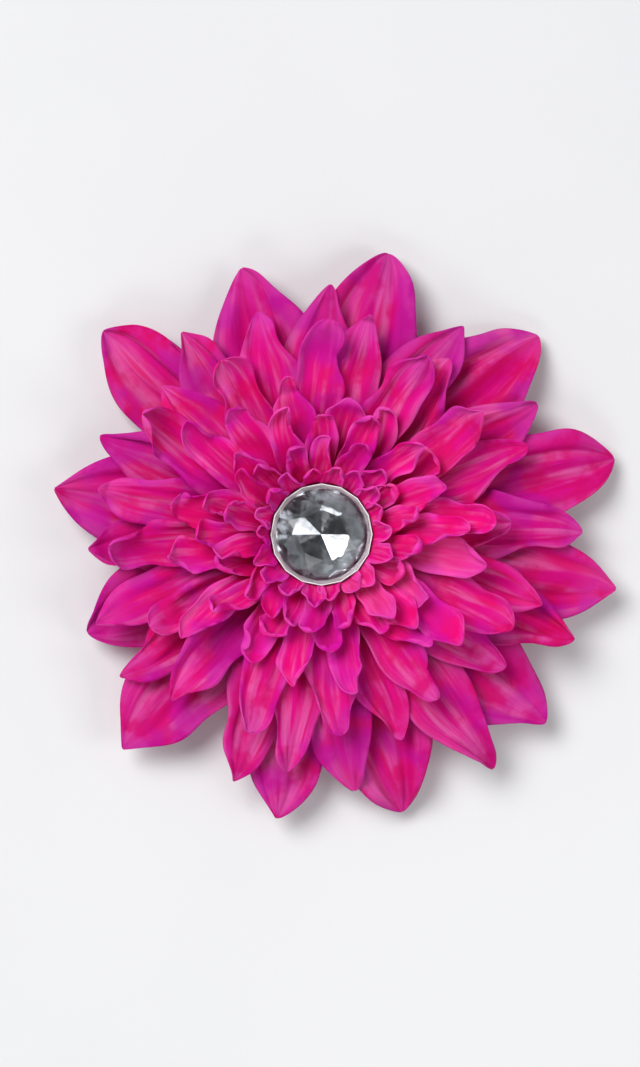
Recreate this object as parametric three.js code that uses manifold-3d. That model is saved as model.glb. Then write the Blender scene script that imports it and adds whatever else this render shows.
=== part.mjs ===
// A layered cloth flower that clings to steel by a disc magnet, with a faceted crystal at its heart.
// Millimetres. The origin is the centre of the magnet's flat face, and the flower opens towards +Z.

import * as THREE from 'three';
import { ConvexGeometry } from 'three/addons/geometries/ConvexGeometry.js';
import { mergeVertices } from 'three/addons/utils/BufferGeometryUtils.js';
import Module from 'manifold-3d';

const wasm = await Module();
wasm.setup();

// ---- driving dimensions: the backing, from the magnet's face upward ----

const MAGNET = { radius: 16, height: 4, bevel: 0.5 };
const TAPE = { radius: 14, height: 0.5 };
const FELT = { radius: 29, height: 1.25 };
const CALYX_GLUE = { radius: 15, height: 0.25 };
const CALYX = { radius: 18, flange: 1.25, boss: 1, bossRadius: 8, floor: 0.5 };

// ---- the stem, which the petal layers are threaded on ----

const STEM = { radius: 3, headRadius: 9, headHeight: 1, barbRadius: 3.5, barbHeight: 0.5 };
const SOCKET_CLEARANCE = 0.25;
const SPACER = { radius: 7.5, clearance: 0.125 };

// ---- the petal layers, from the back to the front ----

const SHEET = 0.5;
const PITCH = 1.5;
const HOLE_RADIUS = 3.25;
const HUB_LAP = 0.5;
const FAN_SHARE = 0.97;
const TIP_HALF_WIDTH = 0.4;
const CUP_SHARE = 0.016;
const POINTED = { fullness: 4, roundness: 1, stepsLong: 5, stepsWide: 2 };
const ROUNDED = { fullness: 5, roundness: 0.7, stepsLong: 4, stepsWide: 1 };

/** Petals of one reach, evenly spread. */
const even = (count, reach) => Array.from({ length: count }, () => [0, reach]);

// A petal leaves the flat hub at the radius root and the angle rise, and ends at the angle fall, in
// degrees above level. turn is the first petal's direction. Each petal is [lean, reach]: how far its
// tip lies from its even place, in degrees, and how far it is from the axis.
const LAYERS = [
  {
    root: 8, rise: 8, fall: -10, turn: 17, outline: POINTED,
    petals: [
      [-3, 80.5], [-6, 77.5], [-2, 75], [-2, 71.5], [-2, 76.5], [5, 69.5],
      [6, 65.5], [-1, 76], [4, 75.5], [0, 77], [1, 78], [3, 79.5],
    ],
  },
  {
    root: 8, rise: 14, fall: -10, turn: 5, outline: POINTED,
    petals: [
      [-3, 69], [-5, 66], [-10, 65.5], [-8.5, 64.5], [-3, 63], [0, 62],
      [0, 60], [2, 63.5], [8, 68], [2, 68], [1, 77], [3, 72],
    ],
  },
  { root: 10, rise: 21, fall: -10, turn: 19, outline: POINTED, petals: even(12, 62) },
  { root: 12, rise: 27, fall: -8, turn: 3, outline: ROUNDED, petals: even(12, 55) },
  { root: 12.5, rise: 38, fall: -4, turn: 12, outline: ROUNDED, petals: even(16, 45) },
  { root: 12.5, rise: 46, fall: 5, turn: 1, outline: ROUNDED, petals: even(16, 36.5) },
  { root: 12, rise: 54, fall: 16, turn: 9, outline: ROUNDED, petals: even(18, 28.5) },
  { root: 11.5, rise: 80, fall: 15, turn: 0, outline: ROUNDED, petals: even(18, 20.5) },
];

// ---- the crystal and what holds it ----

const SEAT_GLUE = { radius: 7, height: 0.25 };
const SEAT = { footRadius: 9, rimRadius: 10.5, floor: 0.75, rimHeight: 0.75 };
const FOIL = { thickness: 0.25, gap: 0.125, flare: 0.25 };
const GEM = { radius: 12.5, tableRadius: 6.5, starRadius: 9.6, breakRadius: 6.5 };
const GEM_DEPTH = { culet: 1.1, pavilion: 1.6, girdle: 0.6, crown: 3.7 };

// ---- heights that follow ----

const tapeZ = MAGNET.height;
const feltZ = tapeZ + TAPE.height;
const calyxGlueZ = feltZ + FELT.height;
const calyxZ = calyxGlueZ + CALYX_GLUE.height;
const bossTopZ = calyxZ + CALYX.flange + CALYX.boss;
const layerZ = LAYERS.map((_, i) => bossTopZ + SHEET / 2 + i * PITCH);
const headZ = layerZ.at(-1) + SHEET / 2;
const seatGlueZ = headZ + STEM.headHeight;
const seatZ = seatGlueZ + SEAT_GLUE.height;
const culetZ = seatZ + SEAT.floor + FOIL.gap * 2 + FOIL.thickness;
const girdleZ = culetZ + GEM_DEPTH.culet + GEM_DEPTH.pavilion;
const girdleTopZ = girdleZ + GEM_DEPTH.girdle;

// ---- materials ----

const MATERIALS = {
  ferrite: new THREE.MeshStandardMaterial({ color: 0x2c2c2e, roughness: 0.55, metalness: 0.3 }),
  foam: new THREE.MeshStandardMaterial({ color: 0xe8e6df, roughness: 0.9, metalness: 0 }),
  felt: new THREE.MeshStandardMaterial({ color: 0xb80f6b, roughness: 1, metalness: 0 }),
  glue: new THREE.MeshStandardMaterial({ color: 0xeae6d8, roughness: 0.35, metalness: 0 }),
  calyx: new THREE.MeshStandardMaterial({ color: 0xa30d5c, roughness: 0.45, metalness: 0 }),
  stem: new THREE.MeshStandardMaterial({ color: 0xd9d6cf, roughness: 0.45, metalness: 0 }),
  cloth: new THREE.MeshStandardMaterial({ color: 0xcc0e77, roughness: 0.6, metalness: 0 }),
  foil: new THREE.MeshStandardMaterial({ color: 0xc9ccd2, roughness: 0.12, metalness: 1 }),
  crystal: new THREE.MeshStandardMaterial({ color: 0xeef1f4, roughness: 0.05, metalness: 0 }),
};

const CIRCLE_STEPS = 40;
const SMALL_STEPS = 24;
const radians = THREE.MathUtils.degToRad;
const group = new THREE.Group();

function addMesh(name, geometry, material) {
  const mesh = new THREE.Mesh(geometry, material);
  mesh.name = name;
  group.add(mesh);
  return mesh;
}

/** A solid of revolution about Z, from [radius, height] corners that run up its outside. */
function turned(corners, steps = SMALL_STEPS) {
  const profile = corners.map(([radius, height]) => new THREE.Vector2(radius, height));
  return new THREE.LatheGeometry(profile, steps).rotateX(Math.PI / 2);
}

/** A plain disc standing on the height z. */
function disc({ radius, height }, z, steps) {
  return turned([[0, z], [radius, z], [radius, z + height], [0, z + height]], steps);
}

/** A flat ring between two heights. */
function washer(inner, outer, low, high, steps) {
  return turned([[inner, low], [outer, low], [outer, high], [inner, high], [inner, low]], steps);
}

// ---- joining solids ----

function toSolid(geometry) {
  const bare = geometry.clone();
  bare.deleteAttribute('normal');
  bare.deleteAttribute('uv');
  const merged = mergeVertices(bare, 1e-5);
  return new wasm.Manifold(new wasm.Mesh({
    numProp: 3,
    vertProperties: new Float32Array(merged.attributes.position.array),
    triVerts: new Uint32Array(merged.index.array),
  }));
}

function toGeometry(solid) {
  const mesh = solid.getMesh();
  const geometry = new THREE.BufferGeometry();
  geometry.setAttribute('position', new THREE.BufferAttribute(mesh.vertProperties, mesh.numProp));
  geometry.setIndex(new THREE.BufferAttribute(mesh.triVerts, 1));
  geometry.computeVertexNormals();
  return geometry;
}

// ---- backing ----

function magnetGeometry() {
  const { radius, height, bevel } = MAGNET;
  return turned([
    [0, 0], [radius - bevel, 0], [radius, bevel],
    [radius, height - bevel], [radius - bevel, height], [0, height],
  ], CIRCLE_STEPS);
}

/** The moulded base: a flange with a boss, whose socket has a groove that the stem's barb snaps into. */
function calyxGeometry() {
  const socket = STEM.radius + SOCKET_CLEARANCE;
  const groove = STEM.barbRadius + SOCKET_CLEARANCE;
  const floor = calyxZ + CALYX.floor;
  const grooveTop = floor + STEM.barbHeight + 2 * SOCKET_CLEARANCE;
  return turned([
    [0, calyxZ], [CALYX.radius, calyxZ], [CALYX.radius, calyxZ + CALYX.flange],
    [CALYX.bossRadius, calyxZ + CALYX.flange], [CALYX.bossRadius, bossTopZ],
    [socket, bossTopZ], [socket, grooveTop], [groove, grooveTop], [groove, floor], [0, floor],
  ]);
}

/** The stem: a barbed foot in the calyx, a shaft through every layer, and a head over the last. */
function stemGeometry() {
  const foot = calyxZ + CALYX.floor + SOCKET_CLEARANCE;
  return turned([
    [0, foot], [STEM.radius, foot], [STEM.barbRadius, foot + STEM.barbHeight],
    [STEM.radius, foot + STEM.barbHeight], [STEM.radius, headZ], [STEM.headRadius, headZ],
    [STEM.headRadius, seatGlueZ], [0, seatGlueZ],
  ]);
}

// ---- petal layers ----

const TIP_EASE = 1.4;

/** A petal's middle line, bent to one even curve: its place and slope at a share of its length. */
function spine(layer, z, reach, share) {
  const rise = radians(layer.rise);
  const fall = radians(layer.fall);
  const curl = (Math.sin(fall) - Math.sin(rise)) / (reach - layer.root);
  const slope = rise + share * (fall - rise);
  return {
    radius: layer.root + (Math.sin(slope) - Math.sin(rise)) / curl,
    height: z - (Math.cos(slope) - Math.cos(rise)) / curl,
    slope,
  };
}

/** One petal, wrapped round the axis at its spine's radius, with its edges lifted into a cup. */
function petalGeometry(layer, z, index) {
  const [lean, reach] = layer.petals[index];
  const { fullness, roundness, stepsLong, stepsWide } = layer.outline;
  const pitch = (2 * Math.PI) / layer.petals.length;
  const petal = new THREE.BoxGeometry(1, 2, 1, stepsLong, stepsWide, 1);
  const corner = petal.attributes.position;
  for (let n = 0; n < corner.count; n += 1) {
    const share = 1 - (0.5 - corner.getX(n)) ** TIP_EASE;
    const across = corner.getY(n);
    const { radius, height, slope } = spine(layer, z, reach, share);
    const fan = (FAN_SHARE * pitch) / 2 * (1 - share ** fullness) ** roundness;
    const halfAngle = Math.max(fan, TIP_HALF_WIDTH / radius);
    const cup = stepsWide > 1 ? CUP_SHARE * reach * Math.sin(Math.PI * share) * across ** 2 : 0;
    const lift = corner.getZ(n) * SHEET + cup;
    const turn = radians(layer.turn + lean * share) + index * pitch + across * halfAngle;
    const out = radius - lift * Math.sin(slope);
    corner.setXYZ(n, out * Math.cos(turn), out * Math.sin(turn), height + lift * Math.cos(slope));
  }
  return petal;
}

/** One die-cut piece of cloth: a pierced hub with all its petals. */
function layerGeometry(layer, z) {
  const [low, high] = [z - SHEET / 2, z + SHEET / 2];
  const hub = washer(HOLE_RADIUS, layer.root + HUB_LAP, low, high, 2 * layer.petals.length);
  let cloth = toSolid(hub);
  for (let index = 0; index < layer.petals.length; index += 1) {
    cloth = cloth.add(toSolid(petalGeometry(layer, z, index)));
  }
  return toGeometry(cloth);
}

// ---- the crystal and what holds it ----

const FACETS = 16;

/** Points evenly round the axis, the first at the given share of a step. */
function ring(radius, z, count, offset = 0) {
  return Array.from({ length: count }, (_, i) => {
    const turn = (2 * Math.PI * (i + offset)) / count;
    return new THREE.Vector3(radius * Math.cos(turn), radius * Math.sin(turn), z);
  });
}

/** A brilliant: table, eight stars, eight kites, sixteen girdle facets and a pavilion in two rows. */
function gemGeometry() {
  const tableZ = girdleTopZ + GEM_DEPTH.crown;
  const kiteSlope = GEM_DEPTH.crown / (GEM.radius - GEM.tableRadius);
  const starReach = GEM.starRadius * Math.cos(Math.PI / 8);
  const starZ = tableZ - kiteSlope * (starReach - GEM.tableRadius);
  return new ConvexGeometry([
    ...ring(GEM.tableRadius, tableZ, FACETS / 2),
    ...ring(GEM.starRadius, starZ, FACETS / 2, 0.5),
    ...ring(GEM.radius, girdleTopZ, FACETS),
    ...ring(GEM.radius, girdleZ, FACETS),
    ...ring(GEM.breakRadius, culetZ + GEM_DEPTH.culet, FACETS / 2),
    new THREE.Vector3(0, 0, culetZ),
  ]);
}

/** The crystal's pavilion, lowered by a drop: its height at a radius. */
function pavilionZ(radius, drop) {
  const inner = GEM_DEPTH.culet / GEM.breakRadius;
  const outer = GEM_DEPTH.pavilion / (GEM.radius - GEM.breakRadius);
  const past = Math.max(radius - GEM.breakRadius, 0);
  return culetZ - drop + inner * (radius - past) + outer * past;
}

/** The mirror round the crystal's back: a thin dish of flat facets, turned up past the girdle. */
function foilGeometry() {
  const { thickness, gap, flare } = FOIL;
  const rim = GEM.radius + gap;
  const under = [0, GEM.breakRadius].map((radius) => [radius, pavilionZ(radius, gap + thickness)]);
  const over = [rim, GEM.breakRadius, 0].map((radius) => [radius, pavilionZ(radius, gap)]);
  const facetted = turned([
    ...under, [rim + thickness, pavilionZ(rim, gap + thickness)], [rim + thickness + flare, girdleTopZ],
    [rim + flare, girdleTopZ], ...over,
  ], FACETS).toNonIndexed();
  facetted.computeVertexNormals();
  return facetted;
}

/** The moulded dish that carries the foil and the crystal on the stem's head. */
function seatGeometry() {
  const drop = 2 * FOIL.gap + FOIL.thickness;
  const rimTop = pavilionZ(SEAT.rimRadius, drop);
  return turned([
    [0, seatZ], [SEAT.footRadius, seatZ], [SEAT.rimRadius, rimTop - SEAT.rimHeight],
    [SEAT.rimRadius, rimTop], [GEM.breakRadius, pavilionZ(GEM.breakRadius, drop)], [0, pavilionZ(0, drop)],
  ], FACETS);
}

// ---- assembly ----

addMesh('magnet_disc', magnetGeometry(), MATERIALS.ferrite);
addMesh('magnet_tape', disc(TAPE, tapeZ), MATERIALS.foam);
addMesh('felt_backing', disc(FELT, feltZ, CIRCLE_STEPS), MATERIALS.felt);
addMesh('calyx_glue', disc(CALYX_GLUE, calyxGlueZ), MATERIALS.glue);
addMesh('calyx_base', calyxGeometry(), MATERIALS.calyx);
addMesh('center_stem', stemGeometry(), MATERIALS.stem);

LAYERS.forEach((layer, i) => {
  addMesh(`petal_layer_${i + 1}`, layerGeometry(layer, layerZ[i]), MATERIALS.cloth);
});

for (let i = 1; i < LAYERS.length; i += 1) {
  const low = layerZ[i - 1] + SHEET / 2 + SPACER.clearance;
  const high = layerZ[i] - SHEET / 2 - SPACER.clearance;
  addMesh(`spacer_${i}`, washer(HOLE_RADIUS, SPACER.radius, low, high), MATERIALS.stem);
}

addMesh('seat_glue', disc(SEAT_GLUE, seatGlueZ), MATERIALS.glue);
addMesh('gem_seat', seatGeometry(), MATERIALS.stem);
addMesh('gem_foil', foilGeometry(), MATERIALS.foil);
addMesh('gem_crystal', gemGeometry(), MATERIALS.crystal);

export default group;
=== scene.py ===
"""Looks of the layered cloth flower that clings by a magnet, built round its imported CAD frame.

The frame is in metres; the petals are laid out in millimetres, as in the CAD source, and scaled once.
"""

import math

import bpy
import numpy as np
from mathutils import Matrix, Vector

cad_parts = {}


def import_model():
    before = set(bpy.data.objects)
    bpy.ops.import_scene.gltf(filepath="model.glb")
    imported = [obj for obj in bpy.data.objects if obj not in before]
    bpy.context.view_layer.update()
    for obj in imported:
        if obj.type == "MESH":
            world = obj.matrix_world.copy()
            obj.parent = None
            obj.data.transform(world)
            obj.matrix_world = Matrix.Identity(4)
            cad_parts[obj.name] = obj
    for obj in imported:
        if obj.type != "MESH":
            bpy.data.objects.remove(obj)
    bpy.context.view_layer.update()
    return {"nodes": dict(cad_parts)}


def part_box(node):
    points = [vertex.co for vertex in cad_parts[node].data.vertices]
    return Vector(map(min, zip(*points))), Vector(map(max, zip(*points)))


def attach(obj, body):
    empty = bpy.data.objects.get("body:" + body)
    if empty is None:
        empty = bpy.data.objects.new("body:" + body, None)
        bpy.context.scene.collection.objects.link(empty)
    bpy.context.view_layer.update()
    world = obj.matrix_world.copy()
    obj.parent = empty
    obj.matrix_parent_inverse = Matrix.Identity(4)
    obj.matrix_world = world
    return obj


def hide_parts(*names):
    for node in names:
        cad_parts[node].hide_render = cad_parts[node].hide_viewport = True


MM = 0.001

# ---- the layer table of the CAD source, in millimetres and degrees ----

# How much of the way round the petals' roots fill together.
FAN_SHARE = 0.97
HOLE_RADIUS = 3.25
# The height of the outermost layer's hub, and from each layer's hub to the next.
FIRST_LAYER_Z = 8.5
PITCH = 1.5


def even(count, reach):
    """Petals of one reach, evenly spread, each as (lean, reach)."""
    return [(0, reach)] * count


# A petal leaves the flat hub at the radius root and the angle rise, and ends at the angle fall, in
# degrees above level. turn is the first petal's direction. Each petal is (lean, reach): how far its tip
# lies from its even place, in degrees, and how far it is from the axis.
LAYERS = [
    dict(root=8, rise=8, fall=-10, turn=17,
         petals=[(-3, 80.5), (-6, 77.5), (-2, 75), (-2, 71.5), (-2, 76.5), (5, 69.5),
                 (6, 65.5), (-1, 76), (4, 75.5), (0, 77), (1, 78), (3, 79.5)]),
    dict(root=8, rise=14, fall=-10, turn=5,
         petals=[(-3, 69), (-5, 66), (-10, 65.5), (-8.5, 64.5), (-3, 63), (0, 62),
                 (0, 60), (2, 63.5), (8, 68), (2, 68), (1, 77), (3, 72)]),
    dict(root=10, rise=21, fall=-10, turn=19, petals=even(12, 62)),
    dict(root=12, rise=27, fall=-8, turn=3, petals=even(12, 55)),
    dict(root=12.5, rise=38, fall=-4, turn=12, petals=even(16, 45)),
    dict(root=12.5, rise=46, fall=5, turn=1, petals=even(16, 36.5)),
    dict(root=12, rise=54, fall=16, turn=9, petals=even(18, 28.5)),
    dict(root=11.5, rise=80, fall=15, turn=0, petals=even(18, 20.5)),
]

# ---- how each layer's petals are cut and heat-formed ----
# width: the flat width of a petal at its widest. peak: where along it that is.
# blunt: the tip's outline, from a point (0) to a round end (1).
# curl: how far the cross-section bends, in degrees, at mid length and at the tip.
# ridges: soft pleats along the petal, and their height. fold: how deep the middle crease is.
# lift: how the tip bends up, in degrees, as a mean and a spread. twist and bend: spreads, in degrees.
# ruffle: the height of the waves along the edges. crumple: the height of the slow waves all over.
# vary: the share by which reaches fall short. sway: how far a petal leans to either side, in degrees.
# long, wide: the mesh's steps along and across a petal. Lengths are in millimetres.

POINTED = dict(blunt=0, long=52, wide=24)
ROUNDED = dict(blunt=1, long=34, wide=16)
STYLES = [
    dict(POINTED, width=26, peak=0.64, curl=(20, 80), ridges=(3, 3.8), fold=2.2,
         lift=(4, 28), twist=30, bend=9, ruffle=1.3, crumple=1.3, vary=0, sway=0),
    dict(POINTED, width=18, peak=0.62, curl=(25, 85), ridges=(3, 2.9), fold=1.8,
         lift=(8, 28), twist=30, bend=9, ruffle=1.2, crumple=1.2, vary=0, sway=0),
    dict(POINTED, width=15, peak=0.62, curl=(30, 90), ridges=(3, 2.2), fold=1.4,
         lift=(12, 30), twist=30, bend=10, ruffle=1.1, crumple=1.0, vary=0.1, sway=6),
    dict(ROUNDED, width=13.5, peak=0.7, curl=(45, 105), ridges=(2, 1.6), fold=1.0,
         lift=(36, 32), twist=30, bend=11, ruffle=0.8, crumple=0.9, vary=0.12, sway=7),
    dict(ROUNDED, width=10.5, peak=0.72, curl=(60, 130), ridges=(2, 0.4), fold=0.5,
         lift=(66, 40), twist=48, bend=22, ruffle=0.55, crumple=0.6, vary=0.16, sway=9),
    dict(ROUNDED, width=9, peak=0.72, curl=(80, 150), ridges=(1, 0.3), fold=0.4,
         lift=(78, 42), twist=54, bend=30, ruffle=0.45, crumple=0.45, vary=0.16, sway=10),
    dict(ROUNDED, width=7.6, peak=0.72, curl=(95, 165), ridges=(1, 0.25), fold=0.3,
         lift=(80, 42), twist=54, bend=32, ruffle=0.35, crumple=0.35, vary=0.14, sway=8),
    dict(ROUNDED, width=6.2, peak=0.7, curl=(80, 160), ridges=(1, 0.2), fold=0.2,
         lift=(56, 32), twist=32, bend=26, ruffle=0.3, crumple=0.2, vary=0.1, sway=5),
]

CLOTH_THICKNESS = 0.32
# How far a petal still reaches to either side at its very tip.
TIP_HALF_WIDTH = 0.35
# How much closer together the rows of a petal's mesh come towards its tip.
TIP_EASE = 1.35
# How far the cut edges stray from the plain outline, and how much a tip's bluntness differs.
UNEVEN_SHARE = 0.07
BLUNT_SPREAD = 0.22
# Bending draws a tip in, so a petal is cut longer, up to this many times, to come out at its reach.
MOST_STRETCH = 1.07
# The share of vary by which a reach may be longer than its layer's.
OVERSHOOT = 0.15
# How far a petal bows up or down at mid length, in degrees.
BOW = 3
FIRST_LAYER_SEED = 40
FELT_SEED = 7
HUB_RINGS = 5

# The gap kept between one layer's band and the next one's, and the least room on a side.
BAND_MARGIN = 0.25
LEAST_ROOM = 0.1
# Above the innermost layer nothing is in the way.
OPEN_ROOM = 12.0
# Beyond the next layer's reach the room above grows with the radius.
FREE_START = 1.2
FREE_SLOPE = 2.2
# Under the outermost layer is the floor, a little further down towards the tips.
FLOOR_ROOM = 0.6
FLOOR_ROOM_START = 22
FLOOR_ROOM_SLOPE = 0.07

# Above this height no petal comes closer to the axis than this radius, where the crystal sits.
GEM_CLEAR_RADIUS = 13.4
GEM_CLEAR_HEIGHT = 20.5
# How many layers, from the innermost out, come near the crystal.
LAYERS_BY_GEM = 2
# From this radius out the foil is crimped up round the crystal and duller. There it is painted a pale
# pinkish white, a painted reflection of the petals that lightens the crystal's edge.
FOIL_CRIMP_RADIUS = 11.2
FOIL_CRIMP_WIDTH = 0.5
# The cloth of each layer, from the outermost in: the inner petals are more cupped. The outer cloth is
# painted darker as painted shade, and the cupped cloth lighter as painted light.
CLOTH_OF_LAYER = ("outer", "outer", "middle", "middle", "cupped", "cupped", "cupped", "cupped")


# ---- small helpers ----

def smooth(low, high, value):
    """0 below low, 1 above high, and an easy slope between."""
    t = np.clip((value - low) / (high - low), 0, 1)
    return t * t * (3 - 2 * t)


def layer_z(index):
    return FIRST_LAYER_Z + PITCH * index


def arc_length(layer, reach):
    """The length of a petal whose slope turns evenly from rise to fall, from its root to its reach."""
    rise, fall = math.radians(layer["rise"]), math.radians(layer["fall"])
    return (reach - layer["root"]) * (fall - rise) / (math.sin(fall) - math.sin(rise))


def profile(index):
    """The layer's plain middle line, as radii and heights, out to its longest petal's reach."""
    layer = LAYERS[index]
    reach = max(r for _, r in layer["petals"])
    rise, fall = math.radians(layer["rise"]), math.radians(layer["fall"])
    bend = (math.sin(fall) - math.sin(rise)) / (reach - layer["root"])
    slope = np.linspace(rise, fall, 200)
    radius = layer["root"] + (np.sin(slope) - math.sin(rise)) / bend
    height = layer_z(index) - (np.cos(slope) - math.cos(rise)) / bend
    return np.append(0, radius), np.append(layer_z(index), height)


PROFILES = [profile(i) for i in range(len(LAYERS))]


def height_at(index, radius):
    return np.interp(radius, *PROFILES[index])


# ---- room between the layers: each keeps to its own band, so that it can turn freely ----

def room_above(index, radius):
    """How far above its middle line a layer may come."""
    if index == len(LAYERS) - 1:
        return np.full_like(radius, OPEN_ROOM)
    reach = PROFILES[index + 1][0][-1]
    inside = np.minimum(radius, reach)
    half_gap = (height_at(index + 1, inside) - height_at(index, inside)) / 2
    return half_gap - BAND_MARGIN + FREE_SLOPE * np.maximum(0, radius - reach - FREE_START)


def room_below(index, radius):
    """How far below its middle line a layer may come."""
    if index == 0:
        return FLOOR_ROOM + FLOOR_ROOM_SLOPE * np.maximum(0, radius - FLOOR_ROOM_START)
    return (height_at(index, radius) - height_at(index - 1, radius)) / 2 - BAND_MARGIN


def keep_to_band(index, points):
    """Eases the points into the layer's band."""
    radius = np.hypot(points[..., 0], points[..., 1])
    middle = height_at(index, radius)
    offset = points[..., 2] - middle
    above = np.maximum(room_above(index, radius), LEAST_ROOM)
    below = np.maximum(room_below(index, radius), LEAST_ROOM)
    room = np.where(offset > 0, above, below)
    points[..., 2] = middle + room * np.tanh(offset / room)
    return points


def clear_of_gem(points):
    """Pushes points beside the crystal out from the axis."""
    radius = np.hypot(points[..., 0], points[..., 1])
    beside = smooth(GEM_CLEAR_HEIGHT - 1, GEM_CLEAR_HEIGHT + 1, points[..., 2])
    short = np.maximum(0, GEM_CLEAR_RADIUS - radius) * beside
    points[..., :2] *= ((radius + short) / np.maximum(radius, 1e-6))[..., None]
    return points


# ---- one petal ----

def outline(style, root_width, share, blunt):
    """The flat width along a petal: it grows from its root to its peak, then narrows to the tip."""
    peak = style["peak"]
    grow = np.sin(np.minimum(share / peak, 1) * math.pi / 2) ** 1.15
    body = root_width + (style["width"] - root_width) * grow
    t = np.clip((share - peak) / (1 - peak), 0, 1)
    point = (1 - t ** 2.1) ** 0.9
    rounded = (1 - t ** 2.5) ** 0.5
    tip = point + (rounded - point) * blunt
    return body * tip + 2 * TIP_HALF_WIDTH


def petal_spine(layer, style, length, share, draw):
    """The petal's middle line, and its directions across and off the cloth, row by row."""
    lift = math.radians(style["lift"][0] + style["lift"][1] * draw.uniform(-1, 1))
    bend = math.radians(style["bend"] * draw.uniform(-1, 1))
    bow = math.radians(BOW * draw.uniform(-1, 1))
    rise, fall = math.radians(layer["rise"]), math.radians(layer["fall"])

    def direction(s):
        slope = rise + s * (fall - rise) + lift * smooth(0.62, 1, s) + bow * np.sin(math.pi * s)
        heading = bend * s * s
        level = np.cos(slope)
        return np.stack([level * np.cos(heading), level * np.sin(heading), np.sin(slope)], -1)

    middle = (share[1:] + share[:-1]) / 2
    steps = direction(middle) * (np.diff(share) * length)[:, None]
    line = np.vstack([[0, 0, 0], np.cumsum(steps, 0)])
    along = direction(share)
    heading = bend * share * share
    across = np.stack([-np.sin(heading), np.cos(heading), np.zeros_like(share)], -1)
    normal = np.cross(along, across)
    twist = math.radians(style["twist"] * draw.uniform(-1, 1)) * smooth(0.15, 1, share)
    turn, tilt = np.cos(twist)[:, None], np.sin(twist)[:, None]
    return line, across * turn + normal * tilt, normal * turn - across * tilt


def relief(style, share, u, width, draw):
    """How far the cloth stands off its smooth cross-section, u being -1 and 1 at the edges."""
    narrow = np.clip(width / (0.5 * style["width"]), 0, 1)
    folded = pleats_and_crease(style, share, u, draw)
    ruffled = ruffle(style, share, u, draw)
    return (folded + ruffled + crumple(style, share, u, draw)) * narrow


def pleats_and_crease(style, share, u, draw):
    """Soft ridges along the petal, and the crease down its middle."""
    count, height = style["ridges"]
    count, height = count + draw.uniform(-0.5, 0.5), height * draw.uniform(0.6, 1.3)
    shape = smooth(0.02, 0.3, share) * (1 - 0.55 * smooth(0.7, 1, share))
    shift = 0.25 * draw.uniform(-1, 1)
    sweep = math.pi * (count * u + shift) / 2 * (1 + 0.12 * np.sin(5 * share))
    wave = np.sqrt(np.cos(sweep) ** 2 + 0.03)
    pleats = height * shape * (wave - 0.65) * (1 + 0.35 * np.sin(7 * share + 6 * draw.uniform()))
    crease = -style["fold"] * shape * np.exp(-(u / 0.11) ** 2) * 0.5
    crease = crease + style["fold"] * shape * np.abs(u) ** 1.5 * 0.6
    return pleats + crease


def ruffle(style, share, u, draw):
    """Waves along the two edges, each with its own rate."""
    total = np.zeros_like(u * share)
    for side in (-1, 1):
        rate, phase = draw.uniform(1.6, 3.2), draw.uniform(0, 2 * math.pi)
        edge = np.clip(side * u, 0, 1) ** 3
        total = total + edge * np.sin(2 * math.pi * rate * share + phase)
    return style["ruffle"] * smooth(0.15, 0.5, share) * total


def crumple(style, share, u, draw):
    """Slow waves over the whole petal, in four directions."""
    total = np.zeros_like(u * share)
    for _ in range(4):
        along, across = draw.uniform(0.6, 2.8), draw.uniform(-1.4, 1.4)
        turns = along * share + across * u / 2
        total = total + np.sin(2 * math.pi * turns + draw.uniform(0, 6.3)) / 2.5
    return style["crumple"] * smooth(0.1, 0.6, share) * total


def uneven_sides(share, u, draw):
    """How the two cut edges bulge and draw in along the petal, each in its own way."""
    left, right = (np.sin(draw.uniform(8, 20) * share + draw.uniform(0, 2 * math.pi)) for _ in range(2))
    return 1 + UNEVEN_SHARE * smooth(0.3, 0.6, share) * np.where(u < 0, left, right)


def rolled_section(style, share, u, width, draw):
    """Each row's points, sideways and up from the petal's middle line, rolled into a gutter."""
    slack = 1 + 0.25 * draw.uniform(-1, 1)
    middle, tip = (math.radians(a) * slack for a in style["curl"])
    angle = middle * smooth(0, 0.5, share) + (tip - middle) * smooth(0.45, 0.95, share)
    angle = np.maximum(angle, 1e-3)
    ring = width * uneven_sides(share, u, draw) / angle
    at = u * angle / 2
    stand = relief(style, share, u, width, draw)
    return (ring - stand) * np.sin(at), ring * (1 - np.cos(at)) + stand * np.cos(at)


def wrapped_round_hub(points, share):
    """The points with the petal's foot bent round the axis, where it joins its neighbours."""
    wrap = 1 - smooth(0, 0.22, share)
    theta = points[..., 1] / points[..., 0]
    x, y = points[..., 0] * np.cos(theta), points[..., 0] * np.sin(theta)
    bent = np.stack([x, y, points[..., 2]], -1)
    return points + (bent - points) * wrap[..., None]


def petal_points(layer, style, reach, count, draw):
    """One petal along +X, with its root's middle at (root, 0, 0).

    Gives its grid of points, each row's share of the length, the points as cut flat, and the flat area.
    """
    share = 1 - (1 - np.linspace(0, 1, style["long"] + 1)) ** TIP_EASE
    u = np.linspace(-1, 1, style["wide"] + 1)[None, :]
    root = layer["root"]
    root_width = 2 * root * FAN_SHARE * math.pi / count
    length = arc_length(layer, reach)
    blunt = abs(style["blunt"] - BLUNT_SPREAD * draw.uniform())
    width = outline(style, root_width - 2 * TIP_HALF_WIDTH, share, blunt)[:, None]
    line, across, normal = petal_spine(layer, style, length, share, draw)
    stretch = (reach - root) / (np.hypot(root + line[-1, 0], line[-1, 1]) - root)
    stretch = min(stretch, MOST_STRETCH)
    line, length = line * stretch, length * stretch
    rows = share[:, None]
    sideways, up = (part[..., None] for part in rolled_section(style, rows, u, width, draw))
    points = line[:, None, :] + across[:, None, :] * sideways + normal[:, None, :] * up
    points[..., 0] += root
    points = wrapped_round_hub(points, rows)
    flat = np.stack(np.broadcast_arrays(u * width / 2, rows * length), -1)
    cut = np.sum((width[1:, 0] + width[:-1, 0]) / 2 * np.diff(share)) * length
    return points, share, flat, cut


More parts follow.
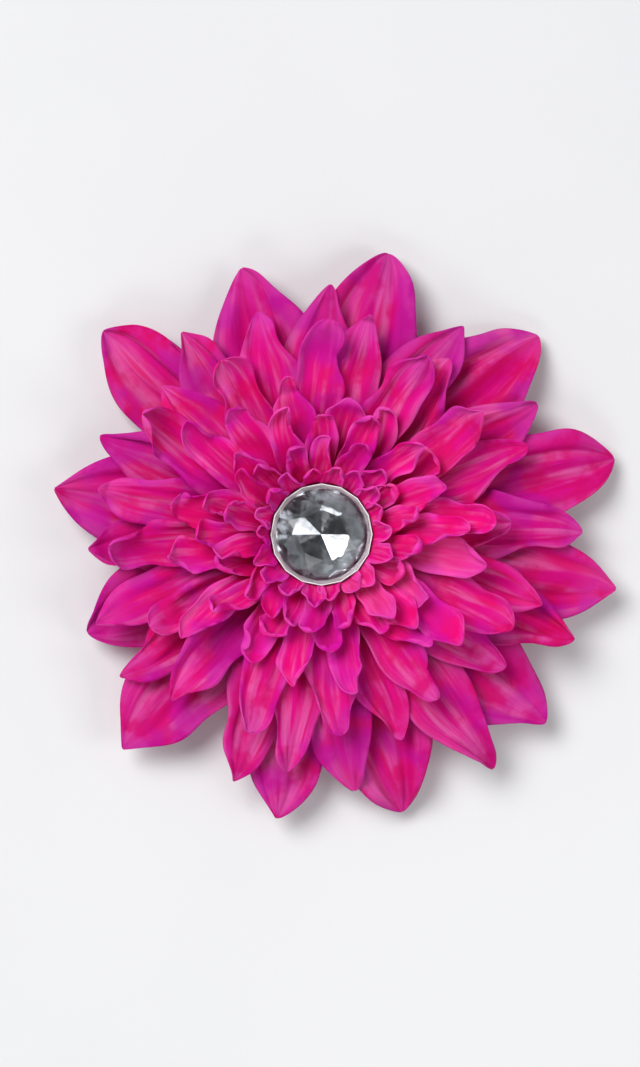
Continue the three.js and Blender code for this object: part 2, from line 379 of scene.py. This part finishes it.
# ---- a whole layer, hub and petals in one cut sheet ----

class Sheet:
    """A layer's vertices and faces while it is put together.

    grain: where each vertex lies in the flat cloth, in millimetres. place: its petal's number plus its
    share of the way across, and its share of the way along. On the hub these are -1 and 0.
    """

    def __init__(self):
        self.points, self.faces, self.grain, self.place = [], [], [], []
        self.size = 0

    def add(self, points, grain, place):
        """Adds vertices and gives the number of the first one."""
        start = self.size
        self.points.append(points.reshape(-1, 3))
        self.grain.append(grain.reshape(-1, 2))
        self.place.append(place.reshape(-1, 2))
        self.size += len(self.points[-1])
        return start

    def quads(self, start, rows, columns):
        """Adds the faces of a grid whose vertices begin at start."""
        i, j = np.meshgrid(np.arange(rows - 1), np.arange(columns - 1), indexing="ij")
        a = start + i * columns + j
        self.faces.append(np.stack([a, a + columns, a + columns + 1, a + 1], -1).reshape(-1, 4))


def turn_rows(points, angle):
    """Turns each row of points about Z by its own angle."""
    c, s = np.cos(angle)[:, None], np.sin(angle)[:, None]
    x, y = points[..., 0], points[..., 1]
    return np.stack([x * c - y * s, x * s + y * c, points[..., 2]], -1)


def add_hub(sheet, index, rim):
    """The ring between the stem's hole and the petals' roots, with its flat area.

    rim is the row of vertices at the roots, all the way round.
    """
    root = LAYERS[index]["root"]
    rim_points = np.concatenate(sheet.points)[rim]
    theta = np.arctan2(rim_points[:, 1], rim_points[:, 0])
    radii = np.linspace(HOLE_RADIUS, root, HUB_RINGS + 1)[:-1]
    r, t = radii[:, None], theta[None, :]
    points = np.stack(np.broadcast_arrays(r * np.cos(t), r * np.sin(t), layer_z(index)), -1)
    place = np.stack(np.broadcast_arrays(-1.0, 0 * r * t), -1)
    start = sheet.add(points, points[..., :2], place)
    count = len(theta)
    ids = start + np.arange(HUB_RINGS * count).reshape(HUB_RINGS, count)
    ids = np.vstack([ids, rim])
    ids = np.hstack([ids, ids[:, :1]])
    quads = np.stack([ids[:-1, :-1], ids[1:, :-1], ids[1:, 1:], ids[:-1, 1:]], -1)
    sheet.faces.append(quads.reshape(-1, 4))
    return math.pi * (root ** 2 - HOLE_RADIUS ** 2)


def layer_sheet(index):
    """One layer's cloth as a Sheet, with the flat area of its cut in square millimetres."""
    layer, style = LAYERS[index], STYLES[index]
    draw = np.random.RandomState(FIRST_LAYER_SEED + index)
    sheet, rim, area = Sheet(), [], 0
    count = len(layer["petals"])
    for number, (lean, reach) in enumerate(layer["petals"]):
        reach = reach * (1 + style["vary"] * draw.uniform(-1, OVERSHOOT))
        lean = lean + style["sway"] * draw.uniform(-1, 1)
        points, share, flat, cut = petal_points(layer, style, reach, count, draw)
        points[..., 2] += layer_z(index)
        angle = math.radians(layer["turn"] + number * 360 / count) + math.radians(lean) * share
        points = keep_to_band(index, turn_rows(points, angle))
        if index >= len(LAYERS) - LAYERS_BY_GEM:
            points = clear_of_gem(points)
        across = np.linspace(0.02, 0.98, style["wide"] + 1)[None, :] + number
        place = np.stack(np.broadcast_arrays(across, share[:, None]), -1)
        start = sheet.add(points, flat, place)
        sheet.quads(start, style["long"] + 1, style["wide"] + 1)
        rim.append(start + np.arange(style["wide"] + 1))
        area += cut
    area += add_hub(sheet, index, np.concatenate(rim))
    return sheet, area


def mesh_object(name, points, faces, uvs):
    """A smooth-shaded object from points in millimetres, with named UV maps given per vertex."""
    mesh = bpy.data.meshes.new(name)
    mesh.from_pydata((np.asarray(points) * MM).tolist(), [], [[int(v) for v in face] for face in faces])
    loop_vertices = np.zeros(len(mesh.loops), np.int64)
    mesh.loops.foreach_get("vertex_index", loop_vertices)
    for uv_name, values in uvs.items():
        layer = mesh.uv_layers.new(name=uv_name)
        layer.data.foreach_set("uv", np.asarray(values, float)[loop_vertices].ravel())
    mesh.polygons.foreach_set("use_smooth", [True] * len(mesh.polygons))
    obj = bpy.data.objects.new(name, mesh)
    bpy.context.scene.collection.objects.link(obj)
    return obj


def apply_modifiers(obj):
    """Replaces the object's mesh by what its modifiers make of it, and removes them."""
    graph = bpy.context.evaluated_depsgraph_get()
    made = bpy.data.meshes.new_from_object(obj.evaluated_get(graph), depsgraph=graph)
    obj.modifiers.clear()
    obj.data = made


def thicken(obj, thickness):
    """Gives a sheet its thickness in millimetres, half to each side."""
    solid = obj.modifiers.new("thickness", "SOLIDIFY")
    solid.thickness = thickness * MM
    solid.offset = 0
    apply_modifiers(obj)


def build_layer(index, material):
    """The visible cloth of one layer, riding on its body in place of the CAD sheet."""
    sheet, area = layer_sheet(index)
    name = f"petal_cloth_{index + 1}"
    uvs = {"petal": np.concatenate(sheet.place), "grain": np.concatenate(sheet.grain)}
    obj = mesh_object(name, np.concatenate(sheet.points), np.concatenate(sheet.faces), uvs)
    thicken(obj, CLOTH_THICKNESS)
    obj.data.materials.append(material)
    body = "backing" if index in (0, len(LAYERS) - 1) else f"layer_{index + 1}"
    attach(obj, body)
    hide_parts(f"petal_layer_{index + 1}")


# ---- materials ----

class Nodes:
    """A material's node tree with short ways to add to it."""

    def __init__(self, name):
        self.material = bpy.data.materials.new(name)
        self.material.use_nodes = True
        self.tree = self.material.node_tree
        self.shader = self.tree.nodes["Principled BSDF"]

    def add(self, kind, **values):
        """A new node, with its own settings."""
        node = self.tree.nodes.new(kind)
        for key, value in values.items():
            setattr(node, key, value)
        return node

    def link(self, source, target):
        self.tree.links.new(source, target)

    def set(self, **values):
        """Sets the shader's sockets, with _ for a space in a socket's name."""
        for key, value in values.items():
            self.shader.inputs[key.replace("_", " ")].default_value = value

    def math(self, operation, a, b=None, c=None):
        node = self.add("ShaderNodeMath", operation=operation)
        for socket, value in zip(node.inputs, (a, b, c)):
            self.feed(socket, value)
        return node.outputs[0]

    def feed(self, socket, value):
        """Links a socket to the value, or sets it to the value if that is plain."""
        if value is None:
            return
        if isinstance(value, bpy.types.NodeSocket):
            self.link(value, socket)
        else:
            socket.default_value = value

    def mix(self, factor, a, b):
        node = self.add("ShaderNodeMix", data_type="RGBA")
        self.feed(node.inputs[0], factor)
        self.feed(node.inputs[6], a)
        self.feed(node.inputs[7], b)
        return node.outputs[2]

    def ramp(self, factor, low, high):
        """0 at low, 1 at high, and an easy slope between. low may be above high."""
        node = self.add("ShaderNodeMapRange", interpolation_type="SMOOTHSTEP")
        self.feed(node.inputs["Value"], factor)
        node.inputs["From Min"].default_value = low
        node.inputs["From Max"].default_value = high
        return node.outputs["Result"]

    def noise(self, vector, scale, detail=3.0, roughness=0.5):
        node = self.add("ShaderNodeTexNoise")
        self.link(vector, node.inputs["Vector"])
        node.inputs["Scale"].default_value = scale
        node.inputs["Detail"].default_value = detail
        node.inputs["Roughness"].default_value = roughness
        return node.outputs["Fac"]

    def stretched(self, vector, scale):
        """The vector times a scale for each axis."""
        node = self.add("ShaderNodeMapping")
        self.link(vector, node.inputs["Vector"])
        node.inputs["Scale"].default_value = scale
        return node.outputs["Vector"]

    def object_vector(self):
        return self.add("ShaderNodeTexCoord").outputs["Object"]

    def bump(self, height, strength, distance, after=None):
        """A normal from heights, distance being in millimetres, on top of an earlier bump."""
        node = self.add("ShaderNodeBump")
        self.link(height, node.inputs["Height"])
        node.inputs["Strength"].default_value = strength
        node.inputs["Distance"].default_value = distance * MM
        if after is not None:
            self.link(after, node.inputs["Normal"])
        return node.outputs["Normal"]

    def roughness(self, factor, low, high):
        """Lets the shader's roughness run from low to high with the factor."""
        node = self.add("ShaderNodeMapRange")
        self.link(factor, node.inputs["Value"])
        node.inputs["To Min"].default_value = low
        node.inputs["To Max"].default_value = high
        self.link(node.outputs["Result"], self.shader.inputs["Roughness"])


PINK = (0.74, 0.001, 0.235, 1)
# Light pink for the pale washes, partly painted highlight, and for the paler petals.
LIGHT_PINK = (0.84, 0.12, 0.41, 1)
# Purple for a painted satin sheen towards the petals' sides and tips.
PURPLE_SHEEN = (0.58, 0.004, 0.33, 1)
# Orchid for painted highlights along the petals' rims.
RIM_HIGHLIGHT_ORCHID = (0.8, 0.075, 0.44, 1)
RED_PINK = (0.74, 0.001, 0.145, 1)
# Crimson for painted shade, in the hollows of the cups and towards the petals' roots.
SHADE_CRIMSON = (0.54, 0.0008, 0.115, 1)
SHEEN_TINT = (0.75, 0.4, 0.95, 1)
# Noise scales: petal coordinates are one unit to a petal, object coordinates are metres.
PATCH_SCALE = 110
CAST_SCALE = 65
THREAD_SCALE = 1.1


def petal_dye(n, petal, washes_and_highlights, painted_cup_strength):
    """The cloth's colour over a petal, before its fine streaks: the dye, with painted crimson shade,
    painted purple sheen and painted highlights.
    """
    parts = n.add("ShaderNodeSeparateXYZ")
    n.link(petal, parts.inputs[0])
    across, along = parts.outputs["X"], parts.outputs["Y"]
    luck = n.add("ShaderNodeTexWhiteNoise", noise_dimensions="1D")
    n.link(n.math("FLOOR", across), luck.inputs["W"])
    side = n.math("ABSOLUTE", n.math("SUBTRACT", n.math("FRACT", across), 0.5))
    edge = n.math("MAXIMUM", side, n.math("SUBTRACT", along, 0.52))
    bands = n.noise(n.stretched(petal, (3.1, 0.6, 1)), 2.7, 2, 0.45)
    patches = n.noise(n.object_vector(), PATCH_SCALE, 3, 0.55)
    casts = n.noise(n.object_vector(), CAST_SCALE, 2, 0.5)
    # Pale pink washes along each petal, partly the dye's own variation and partly painted highlight.
    colour = n.mix(n.ramp(washes_and_highlights, 0.45, 0.68), PINK, LIGHT_PINK)
    red = n.math("MAXIMUM", n.ramp(patches, 0.46, 0.66), n.ramp(bands, 0.52, 0.66))
    colour = n.mix(n.math("MULTIPLY", red, 0.9), colour, RED_PINK)
    # Painted sheen: purple towards the sides of each petal, mixed with patches of purple spread at
    # random.
    sheen_mask = n.math("MULTIPLY_ADD", n.ramp(side, 0.1, 0.5), 0.4, n.ramp(casts, 0.38, 0.68))
    sheen_mask = n.ramp(sheen_mask, 0.45 - 0.3 * painted_cup_strength, 1.2 - 0.3 * painted_cup_strength)
    colour = n.mix(n.math("MULTIPLY", sheen_mask, 0.85), colour, PURPLE_SHEEN)
    pale = n.ramp(luck.outputs["Color"], 0.68, 1.0)
    colour = n.mix(n.math("MULTIPLY", pale, 0.6), colour, LIGHT_PINK)
    # Painted sheen: purple towards the tips of some petals.
    tip = n.math("MULTIPLY", n.ramp(along, 0.6, 1.05), n.ramp(luck.outputs["Value"], 0.35, 0.9))
    colour = n.mix(n.math("MULTIPLY", tip, 0.6), colour, PURPLE_SHEEN)
    # Painted shade: crimson inside the cupped hollows and towards each petal's root, where it runs in
    # under the layer above.
    painted_hollow_shade = n.math("MULTIPLY", n.ramp(edge, 0.4, 0.1), painted_cup_strength)
    base = n.math("MAXIMUM", n.math("MULTIPLY", n.ramp(along, 0.66, 0.1), 0.9), painted_hollow_shade)
    colour = n.mix(base, colour, SHADE_CRIMSON)
    # Painted highlight: the rims, where the cloth's edge would catch the light, are lightened towards
    # orchid. It is stronger on the cupped petals and broken up by patches.
    rim = n.math("MULTIPLY", n.ramp(edge, 0.26, 0.48), n.ramp(patches, 0.62, 0.42))
    return n.mix(n.math("MULTIPLY", rim, 0.4 + 0.4 * painted_cup_strength), colour, RIM_HIGHLIGHT_ORCHID)


def shaded(n, colour, shade):
    """The colour times a grey."""
    grey = n.add("ShaderNodeCombineColor")
    for socket in grey.inputs[:3]:
        n.link(shade, socket)
    product = n.add("ShaderNodeMix", data_type="RGBA", blend_type="MULTIPLY")
    product.inputs[0].default_value = 1
    n.link(colour, product.inputs[6])
    n.link(grey.outputs[0], product.inputs[7])
    return product.outputs[2]


def weave(n):
    """The height of the cloth's threads, which lie about 0.3 mm apart both ways."""
    grain = n.add("ShaderNodeUVMap", uv_map="grain").outputs["UV"]
    heights = []
    for direction in ("X", "Y"):
        thread = n.add("ShaderNodeTexWave", bands_direction=direction, wave_profile="SIN")
        n.link(grain, thread.inputs["Vector"])
        thread.inputs["Scale"].default_value = THREAD_SCALE
        thread.inputs["Distortion"].default_value = 0.4
        heights.append(thread.outputs["Fac"])
    return n.math("ADD", *heights)


def cloth_material(name, painted_cup_strength, painted_brightness):
    """Hot pink satin, with painted crimson shade in the hollows and towards the roots, a painted purple
    sheen towards the edges and tips, painted highlights on the rims, and painted shade and light along
    the veins.

    The second argument: how strongly the painted rim highlights and hollow shade stand out, and how far
    the painted sheen spreads. The third: how light the cloth is painted, darker outside as painted shade
    and lighter in the cupped middle as painted light.
    """
    n = Nodes(name)
    petal = n.add("ShaderNodeUVMap", uv_map="petal").outputs["UV"]
    washes_and_highlights = n.noise(n.stretched(petal, (2.6, 0.8, 1)), 2.0, 3, 0.5)
    streaks = n.noise(n.stretched(petal, (46, 2.5, 1)), 1.0, 3, 0.6)
    # The streaks darken and lighten the cloth along its veins as painted shade and light, and the whole
    # is scaled by the painted brightness.
    shade = n.math("MULTIPLY_ADD", streaks, 0.22 * painted_brightness, 0.9 * painted_brightness)
    dyed = shaded(n, petal_dye(n, petal, washes_and_highlights, painted_cup_strength), shade)
    n.link(dyed, n.shader.inputs["Base Color"])
    n.roughness(washes_and_highlights, 0.66, 0.48)
    veins = n.bump(streaks, 0.5, 0.25)
    n.link(n.bump(weave(n), 0.5, 0.06, veins), n.shader.inputs["Normal"])
    n.set(Specular_IOR_Level=0.08, Sheen_Weight=0.03, Sheen_Roughness=0.45)
    n.set(Sheen_Tint=SHEEN_TINT)
    return n.material


def mottled_material(name, dark, light, scale, rough, bump, **sockets):
    """A material mottled between two colours, with a finer noise for its gloss and height.

    rough: the lowest and highest roughness. bump: its strength, and its distance in millimetres.
    """
    n = Nodes(name)
    vector = n.object_vector()
    coarse, fine = n.noise(vector, scale, 5, 0.6), n.noise(vector, scale * 6, 3, 0.6)
    n.link(n.mix(n.ramp(coarse, 0.3, 0.7), dark, light), n.shader.inputs["Base Color"])
    n.roughness(fine, *rough)
    strength, distance = bump
    n.link(n.bump(fine, strength, distance), n.shader.inputs["Normal"])
    n.set(**sockets)
    return n.material


def felt_material():
    """Pressed felt: matted fibres in two directions."""
    n = Nodes("felt")
    vector = n.object_vector()
    first = n.noise(n.stretched(vector, (1, 6, 2)), 900, 4, 0.7)
    second = n.noise(n.stretched(vector, (6, 1, 2)), 900, 4, 0.7)
    fibres = n.math("MAXIMUM", first, second)
    colour = n.mix(n.ramp(fibres, 0.45, 0.75), (0.3, 0.003, 0.1, 1), (0.55, 0.02, 0.22, 1))
    n.link(colour, n.shader.inputs["Base Color"])
    n.link(n.bump(fibres, 0.9, 0.3), n.shader.inputs["Normal"])
    n.set(Roughness=0.95, Specular_IOR_Level=0.15, Sheen_Weight=0.4, Sheen_Roughness=0.6)
    return n.material


def crystal_material():
    """Clear cut acrylic with the faintest scuffs."""
    n = Nodes("crystal")
    scuffs = n.noise(n.object_vector(), 700, 4, 0.7)
    n.roughness(scuffs, 0.0, 0.05)
    n.set(IOR=1.49, Transmission_Weight=1.0, Specular_IOR_Level=0.5)
    n.set(Base_Color=(0.97, 0.98, 0.99, 1))
    return n.material


def foil_material():
    """Silvered foil with slight ripples, dull where it is crimped up round the crystal, and painted
    there a pale pinkish white as a painted reflection.
    """
    n = Nodes("mirror_foil")
    place = n.object_vector()
    ripples = n.noise(place, 420, 2, 0.5)
    radius = n.add("ShaderNodeVectorMath", operation="LENGTH")
    n.link(n.stretched(place, (1, 1, 0)), radius.inputs[0])
    outer = FOIL_CRIMP_RADIUS + FOIL_CRIMP_WIDTH
    crimp_and_painted_reflection = n.ramp(radius.outputs["Value"], FOIL_CRIMP_RADIUS * MM, outer * MM)
    silver = n.mix(n.ramp(ripples, 0.35, 0.65), (0.3, 0.31, 0.33, 1), (0.46, 0.47, 0.49, 1))
    # Painted reflection: the crimped ring is painted a pale pinkish white, which shows through the
    # crystal's rim.
    n.link(n.mix(crimp_and_painted_reflection, silver, (0.95, 0.9, 0.93, 1)), n.shader.inputs["Base Color"])
    gloss = n.math("MULTIPLY_ADD", ripples, 0.16, 0.04)
    n.link(n.math("MULTIPLY_ADD", crimp_and_painted_reflection, 0.5, gloss), n.shader.inputs["Roughness"])
    n.link(n.bump(ripples, 0.3, 0.1), n.shader.inputs["Normal"])
    n.set(Metallic=1.0)
    return n.material


def dress(nodes, names, material):
    """Gives the CAD nodes a material in place of their own."""
    for name in names:
        data = nodes[name].data
        data.materials.clear()
        data.materials.append(material)


def dress_cad_nodes(nodes):
    spacers = [f"spacer_{i}" for i in range(1, len(LAYERS))]
    dress(nodes, ["magnet_disc"], mottled_material(
        "ferrite", (0.018, 0.018, 0.02, 1), (0.05, 0.05, 0.054, 1), scale=260,
        rough=(0.4, 0.7), bump=(0.5, 0.12), Metallic=0.25))
    dress(nodes, ["magnet_tape"], mottled_material(
        "foam_tape", (0.72, 0.7, 0.64, 1), (0.85, 0.84, 0.8, 1), scale=900,
        rough=(0.75, 0.95), bump=(0.8, 0.25)))
    dress(nodes, ["calyx_glue", "seat_glue"], mottled_material(
        "glue", (0.74, 0.7, 0.6, 1), (0.86, 0.84, 0.77, 1), scale=200,
        rough=(0.2, 0.45), bump=(0.4, 0.3)))
    dress(nodes, ["calyx_base"], mottled_material(
        "calyx_plastic", (0.3, 0.002, 0.1, 1), (0.4, 0.006, 0.15, 1), scale=150,
        rough=(0.35, 0.55), bump=(0.25, 0.08)))
    dress(nodes, ["center_stem", "gem_seat"] + spacers, mottled_material(
        "stem_plastic", (0.6, 0.59, 0.55, 1), (0.72, 0.71, 0.67, 1), scale=150,
        rough=(0.35, 0.55), bump=(0.25, 0.08)))
    dress(nodes, ["gem_foil"], foil_material())
    dress(nodes, ["gem_crystal"], crystal_material())


# ---- the felt disc ----

FELT_RINGS = 26
FELT_SIDES = 120
# How far the faces are uneven, how far the rim lies inside the CAD disc's, and what the thickness lacks.
FELT_UNEVEN = 0.04
FELT_WORN = 0.25
FELT_THINNER = 0.1


def felt_points(radius, level):
    """The disc's middle surface ring by ring, with its centre last."""
    draw = np.random.RandomState(FELT_SEED)
    share = np.linspace(0, 1, FELT_RINGS + 1)[1:, None]
    t = np.linspace(0, 2 * math.pi, FELT_SIDES, endpoint=False)[None, :]
    wobble = 0.12 * np.sin(9 * t + 1) + 0.1 * np.sin(17 * t + 2)
    r = np.minimum(share * radius, radius - FELT_WORN + wobble)
    height = level + draw.uniform(-FELT_UNEVEN, FELT_UNEVEN, r.shape)
    points = np.stack([r * np.cos(t), r * np.sin(t), height], -1).reshape(-1, 3)
    return np.vstack([points, [[0, 0, level]]])


def felt_faces():
    """Quads between the rings, and a fan of triangles in the middle."""
    centre = FELT_RINGS * FELT_SIDES
    faces = [(centre, j, (j + 1) % FELT_SIDES) for j in range(FELT_SIDES)]
    for start in range(0, centre - FELT_SIDES, FELT_SIDES):
        for j in range(FELT_SIDES):
            a, b = start + j, start + (j + 1) % FELT_SIDES
            faces.append((a, a + FELT_SIDES, b + FELT_SIDES, b))
    return faces


def build_felt(material):
    """A felt disc with softly uneven faces and a worn rim, in place of the CAD disc."""
    low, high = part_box("felt_backing")
    radius, bottom, top = high.x / MM, low.z / MM, high.z / MM
    obj = mesh_object("felt_disc", felt_points(radius, (bottom + top) / 2), felt_faces(), {})
    thicken(obj, top - bottom - FELT_THINNER)
    obj.data.materials.append(material)
    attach(obj, "backing")
    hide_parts("felt_backing")


# ---- the studio ----

FLOOR_SIZE = 6
FLOOR_DROP = 0.0002
LIGHTS_AIM = (0, 0, 0.02)
SUN_POWER = 1.7
SUN_ANGLE = 35
SUN_DIRECTION = (0.55, -0.5, -1)
# The room's light falls from ROOM_LOW near the horizon to ROOM_HIGH near the top.
ROOM_LOW = 0.7
ROOM_HIGH = 0.04
ROOM_COLOUR = (0.95, 0.97, 1, 1)

CAMERA_AIM = (0, 0, 0.018)
CAMERA_LEAN = 4
CAMERA_SIDE = (-0.84, 0.54, 0)
CAMERA_DISTANCE = 1.012
CAMERA_LENS = 132
CAMERA_CLIP = 0.05


def build_stage():
    """A plain pale floor just under the object."""
    bpy.ops.mesh.primitive_plane_add(size=FLOOR_SIZE, location=(0, 0, -FLOOR_DROP))
    floor = bpy.context.object
    floor.name = "studio_floor"
    floor.data.materials.append(mottled_material(
        "floor", (0.76, 0.76, 0.77, 1), (0.8, 0.8, 0.81, 1), scale=3,
        rough=(0.6, 0.7), bump=(0.05, 0.1)))


def aimed(direction):
    """The rotation that points a light along a direction."""
    return Vector(direction).to_track_quat("-Z", "Y").to_euler()


def add_light(data, place, direction):
    obj = bpy.data.objects.new(data.name, data)
    obj.location = place
    obj.rotation_euler = aimed(direction)
    bpy.context.scene.collection.objects.link(obj)


def add_softbox(name, place, size, power):
    """A rectangular area light of a size in metres and a power in watts, aimed at the flower."""
    data = bpy.data.lights.new(name, "AREA")
    data.shape = "RECTANGLE"
    data.size, data.size_y = size
    data.energy = power
    add_light(data, place, Vector(LIGHTS_AIM) - Vector(place))


def build_lights():
    add_softbox("key", (-0.27, 0.25, 0.58), (0.26, 0.26), 1.35)
    add_softbox("fill", (0.42, -0.1, 0.5), (0.24, 0.36), 0.85)
    add_softbox("low", (-0.1, -0.42, 0.5), (0.36, 0.2), 0.55)
    sun = bpy.data.lights.new("window", "SUN")
    sun.energy = SUN_POWER
    sun.angle = math.radians(SUN_ANGLE)
    add_light(sun, (0, 0, 0), SUN_DIRECTION)


def build_world():
    """A room that is dim overhead and light round the horizon."""
    world = bpy.data.worlds.new("studio")
    world.use_nodes = True
    tree = world.node_tree
    coordinates = tree.nodes.new("ShaderNodeTexCoord")
    parts = tree.nodes.new("ShaderNodeSeparateXYZ")
    ramp = tree.nodes.new("ShaderNodeMapRange")
    ramp.inputs["From Min"].default_value = 0.1
    ramp.inputs["From Max"].default_value = 0.95
    ramp.inputs["To Min"].default_value = ROOM_LOW
    ramp.inputs["To Max"].default_value = ROOM_HIGH
    tree.links.new(coordinates.outputs["Generated"], parts.inputs[0])
    tree.links.new(parts.outputs["Z"], ramp.inputs["Value"])
    tree.links.new(ramp.outputs["Result"], tree.nodes["Background"].inputs["Strength"])
    tree.nodes["Background"].inputs["Color"].default_value = ROOM_COLOUR
    bpy.context.scene.world = world


def build_camera():
    """A long lens over the flower's face, leaning a little to the upper left."""
    lean = math.radians(CAMERA_LEAN)
    away = Vector(CAMERA_SIDE) * math.sin(lean) + Vector((0, 0, math.cos(lean)))
    data = bpy.data.cameras.new("camera")
    data.lens = CAMERA_LENS
    data.clip_start = CAMERA_CLIP
    obj = bpy.data.objects.new("camera", data)
    obj.location = Vector(CAMERA_AIM) + away * CAMERA_DISTANCE
    back = away.normalized()
    right = Vector((0, 1, 0)).cross(back).normalized()
    obj.rotation_euler = Matrix((right, back.cross(right), back)).transposed().to_euler()
    bpy.context.scene.collection.objects.link(obj)
    bpy.context.scene.camera = obj


def main():
    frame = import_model()
    bpy.context.scene.view_settings.view_transform = "Standard"
    build_camera()
    # Three copies of one cloth, lit and shaded in paint: the outer one is painted darker, and the cupped
    # one is painted lighter, with stronger painted rim highlights and hollow shade.
    cloths = {
        "outer": cloth_material("outer_petals", 0, 0.84),
        "middle": cloth_material("middle_petals", 0.1, 0.93),
        "cupped": cloth_material("cupped_petals", 0.55, 1.12),
    }
    for index, cloth in enumerate(CLOTH_OF_LAYER):
        build_layer(index, cloths[cloth])
    build_felt(felt_material())
    dress_cad_nodes(frame["nodes"])
    build_stage()
    build_lights()
    build_world()


main()
